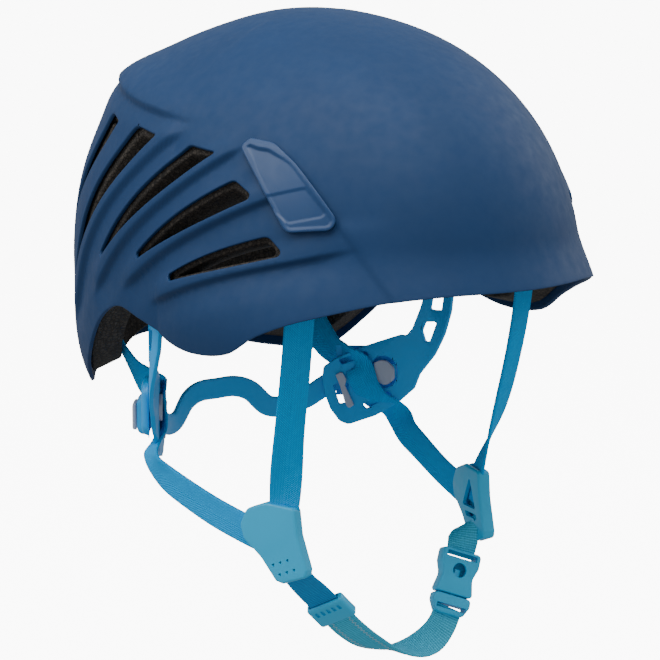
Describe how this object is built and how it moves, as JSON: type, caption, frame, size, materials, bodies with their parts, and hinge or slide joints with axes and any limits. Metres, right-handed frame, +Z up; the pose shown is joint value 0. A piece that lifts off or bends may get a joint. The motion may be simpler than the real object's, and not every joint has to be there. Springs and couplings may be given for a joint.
{
  "type": "climbing helmet",
  "caption": "Vented hard-shell climbing helmet with foam liner, tilting size-adjustable headband, side-release chin buckle and Y-strap sliders.",
  "frame": {"origin": "centre of the head opening at the height of the brow rim, where the helmet sits on a head", "axes": "+Z up as worn, the wearer faces -Y, the wearer's right side is -X"},
  "size_m": [0.2052, 0.2847, 0.3124],
  "materials": {
    "shell_abs": "moulded ABS, satin matte navy blue",
    "liner_foam": "moulded black bead foam, matte",
    "comfort_pad": "brushed black textile over foam",
    "black_trim": "black plastic and elastic trim",
    "headband_plastic": "moulded flexible blue plastic, satin",
    "button_plastic": "moulded pale grey plastic",
    "webbing": "woven polyester webbing with herringbone weave",
    "buckle_plastic": "moulded acetal, satin cyan"
  },
  "bodies": {
    "helmet": {"shell": "shell_abs", "crown_liner": "liner_foam", "rim_liner": "liner_foam", "brow_pad": "comfort_pad", "crown_pad": "comfort_pad", "rear_lamp_elastic": "black_trim", "rear_lamp_hook": "shell_abs", "pivot_pin_right": "button_plastic", "pivot_pin_left": "button_plastic", "front_anchor_right": "black_trim", "front_anchor_left": "black_trim", "rear_anchor_right": "black_trim", "rear_anchor_left": "black_trim", "front_strap_right": "webbing", "front_strap_left": "webbing", "rear_strap_upper_right": "webbing", "rear_strap_upper_left": "webbing", "rear_strap_lower_right": "webbing", "rear_strap_lower_left": "webbing"},
    "clip_right": {"headlamp_clip_right": "shell_abs"},
    "clip_left": {"headlamp_clip_left": "shell_abs"},
    "headband": {"headband_arm_right": "headband_plastic", "headband_arm_left": "headband_plastic", "ratchet_cover_right": "headband_plastic", "ratchet_cover_left": "headband_plastic"},
    "nape": {"rear_band": "headband_plastic"},
    "button_right": {"ratchet_button_right": "button_plastic"},
    "button_left": {"ratchet_button_left": "button_plastic"},
    "slider_right": {"y_slider_right": "buckle_plastic"},
    "slider_left": {"y_slider_left": "buckle_plastic", "buckle_female": "buckle_plastic", "buckle_loop": "webbing"},
    "keeper": {"strap_keeper": "buckle_plastic"},
    "buckle": {"buckle_male": "buckle_plastic", "chin_strap": "webbing"},
    "prong_front": {"buckle_prong_front": "buckle_plastic"},
    "prong_back": {"buckle_prong_back": "buckle_plastic"}
  },
  "joints": [
    {"name": "headband_tilt", "type": "hinge", "parent": "helmet", "child": "headband", "pos_m": [0, 0.012, -0.003], "axis": [1, 0, 0], "range_deg": [-5, 8], "deforming": ["rear_strap_upper_right", "rear_strap_upper_left", "rear_strap_lower_right", "rear_strap_lower_left"]},
    {"name": "size_adjust", "type": "slide", "parent": "headband", "child": "nape", "axis": [0, 1, 0], "range_m": [-0.006, 0.006], "deforming": ["rear_band"]},
    {"name": "clip_lift_right", "type": "hinge", "parent": "helmet", "child": "clip_right", "pos_m": [-0.08199, -0.04596, 0.06319], "axis": [-0.4897, 0.6212, -0.6118], "range_deg": [0, 8], "stiffness_Nm_per_rad": 0.4},
    {"name": "button_press_right", "type": "slide", "parent": "headband", "child": "button_right", "axis": [0.8192, -0.5736, 0], "range_m": [0, 0.0015], "stiffness_N_per_m": 300},
    {"name": "clip_lift_left", "type": "hinge", "parent": "helmet", "child": "clip_left", "pos_m": [0.08199, -0.04596, 0.06319], "axis": [-0.4897, -0.6212, 0.6118], "range_deg": [0, 8], "stiffness_Nm_per_rad": 0.4},
    {"name": "button_press_left", "type": "slide", "parent": "headband", "child": "button_left", "axis": [-0.8192, -0.5736, 0], "range_m": [0, 0.0015], "stiffness_N_per_m": 300},
    {"name": "slider_height_left", "type": "slide", "parent": "helmet", "child": "slider_left", "axis": [0, 0.2586, -0.966], "range_m": [-0.008, 0.008], "deforming": ["front_strap_right", "front_strap_left"]},
    {"name": "slider_height_right", "type": "slide", "parent": "helmet", "child": "slider_right", "axis": [0, 0.2586, -0.966], "range_m": [-0.008, 0.008]},
    {"name": "keeper_slide", "type": "slide", "parent": "slider_right", "child": "keeper", "axis": [0.7067, -0.0353, -0.7067], "range_m": [-0.005, 0.006]},
    {"name": "buckle_release", "type": "slide", "parent": "slider_right", "child": "buckle", "axis": [-0.4237, -0.1559, -0.8923], "range_m": [0, 0.025], "deforming": ["chin_strap", "buckle_loop"]},
    {"name": "prong_squeeze_front", "type": "hinge", "parent": "buckle", "child": "prong_front", "pos_m": [0.04566, -0.05034, -0.16523], "axis": [-0.285, -0.9121, 0.2946], "range_deg": [0, 4], "stiffness_Nm_per_rad": 0.05},
    {"name": "prong_squeeze_back", "type": "hinge", "parent": "buckle", "child": "prong_back", "pos_m": [0.03603, -0.04609, -0.1614], "axis": [0.285, 0.9121, -0.2946], "range_deg": [0, 4], "stiffness_Nm_per_rad": 0.05}
  ],
  "couplings": [
    {"joint": "slider_height_right", "follows": "slider_height_left", "ratio": 1}
  ]
}
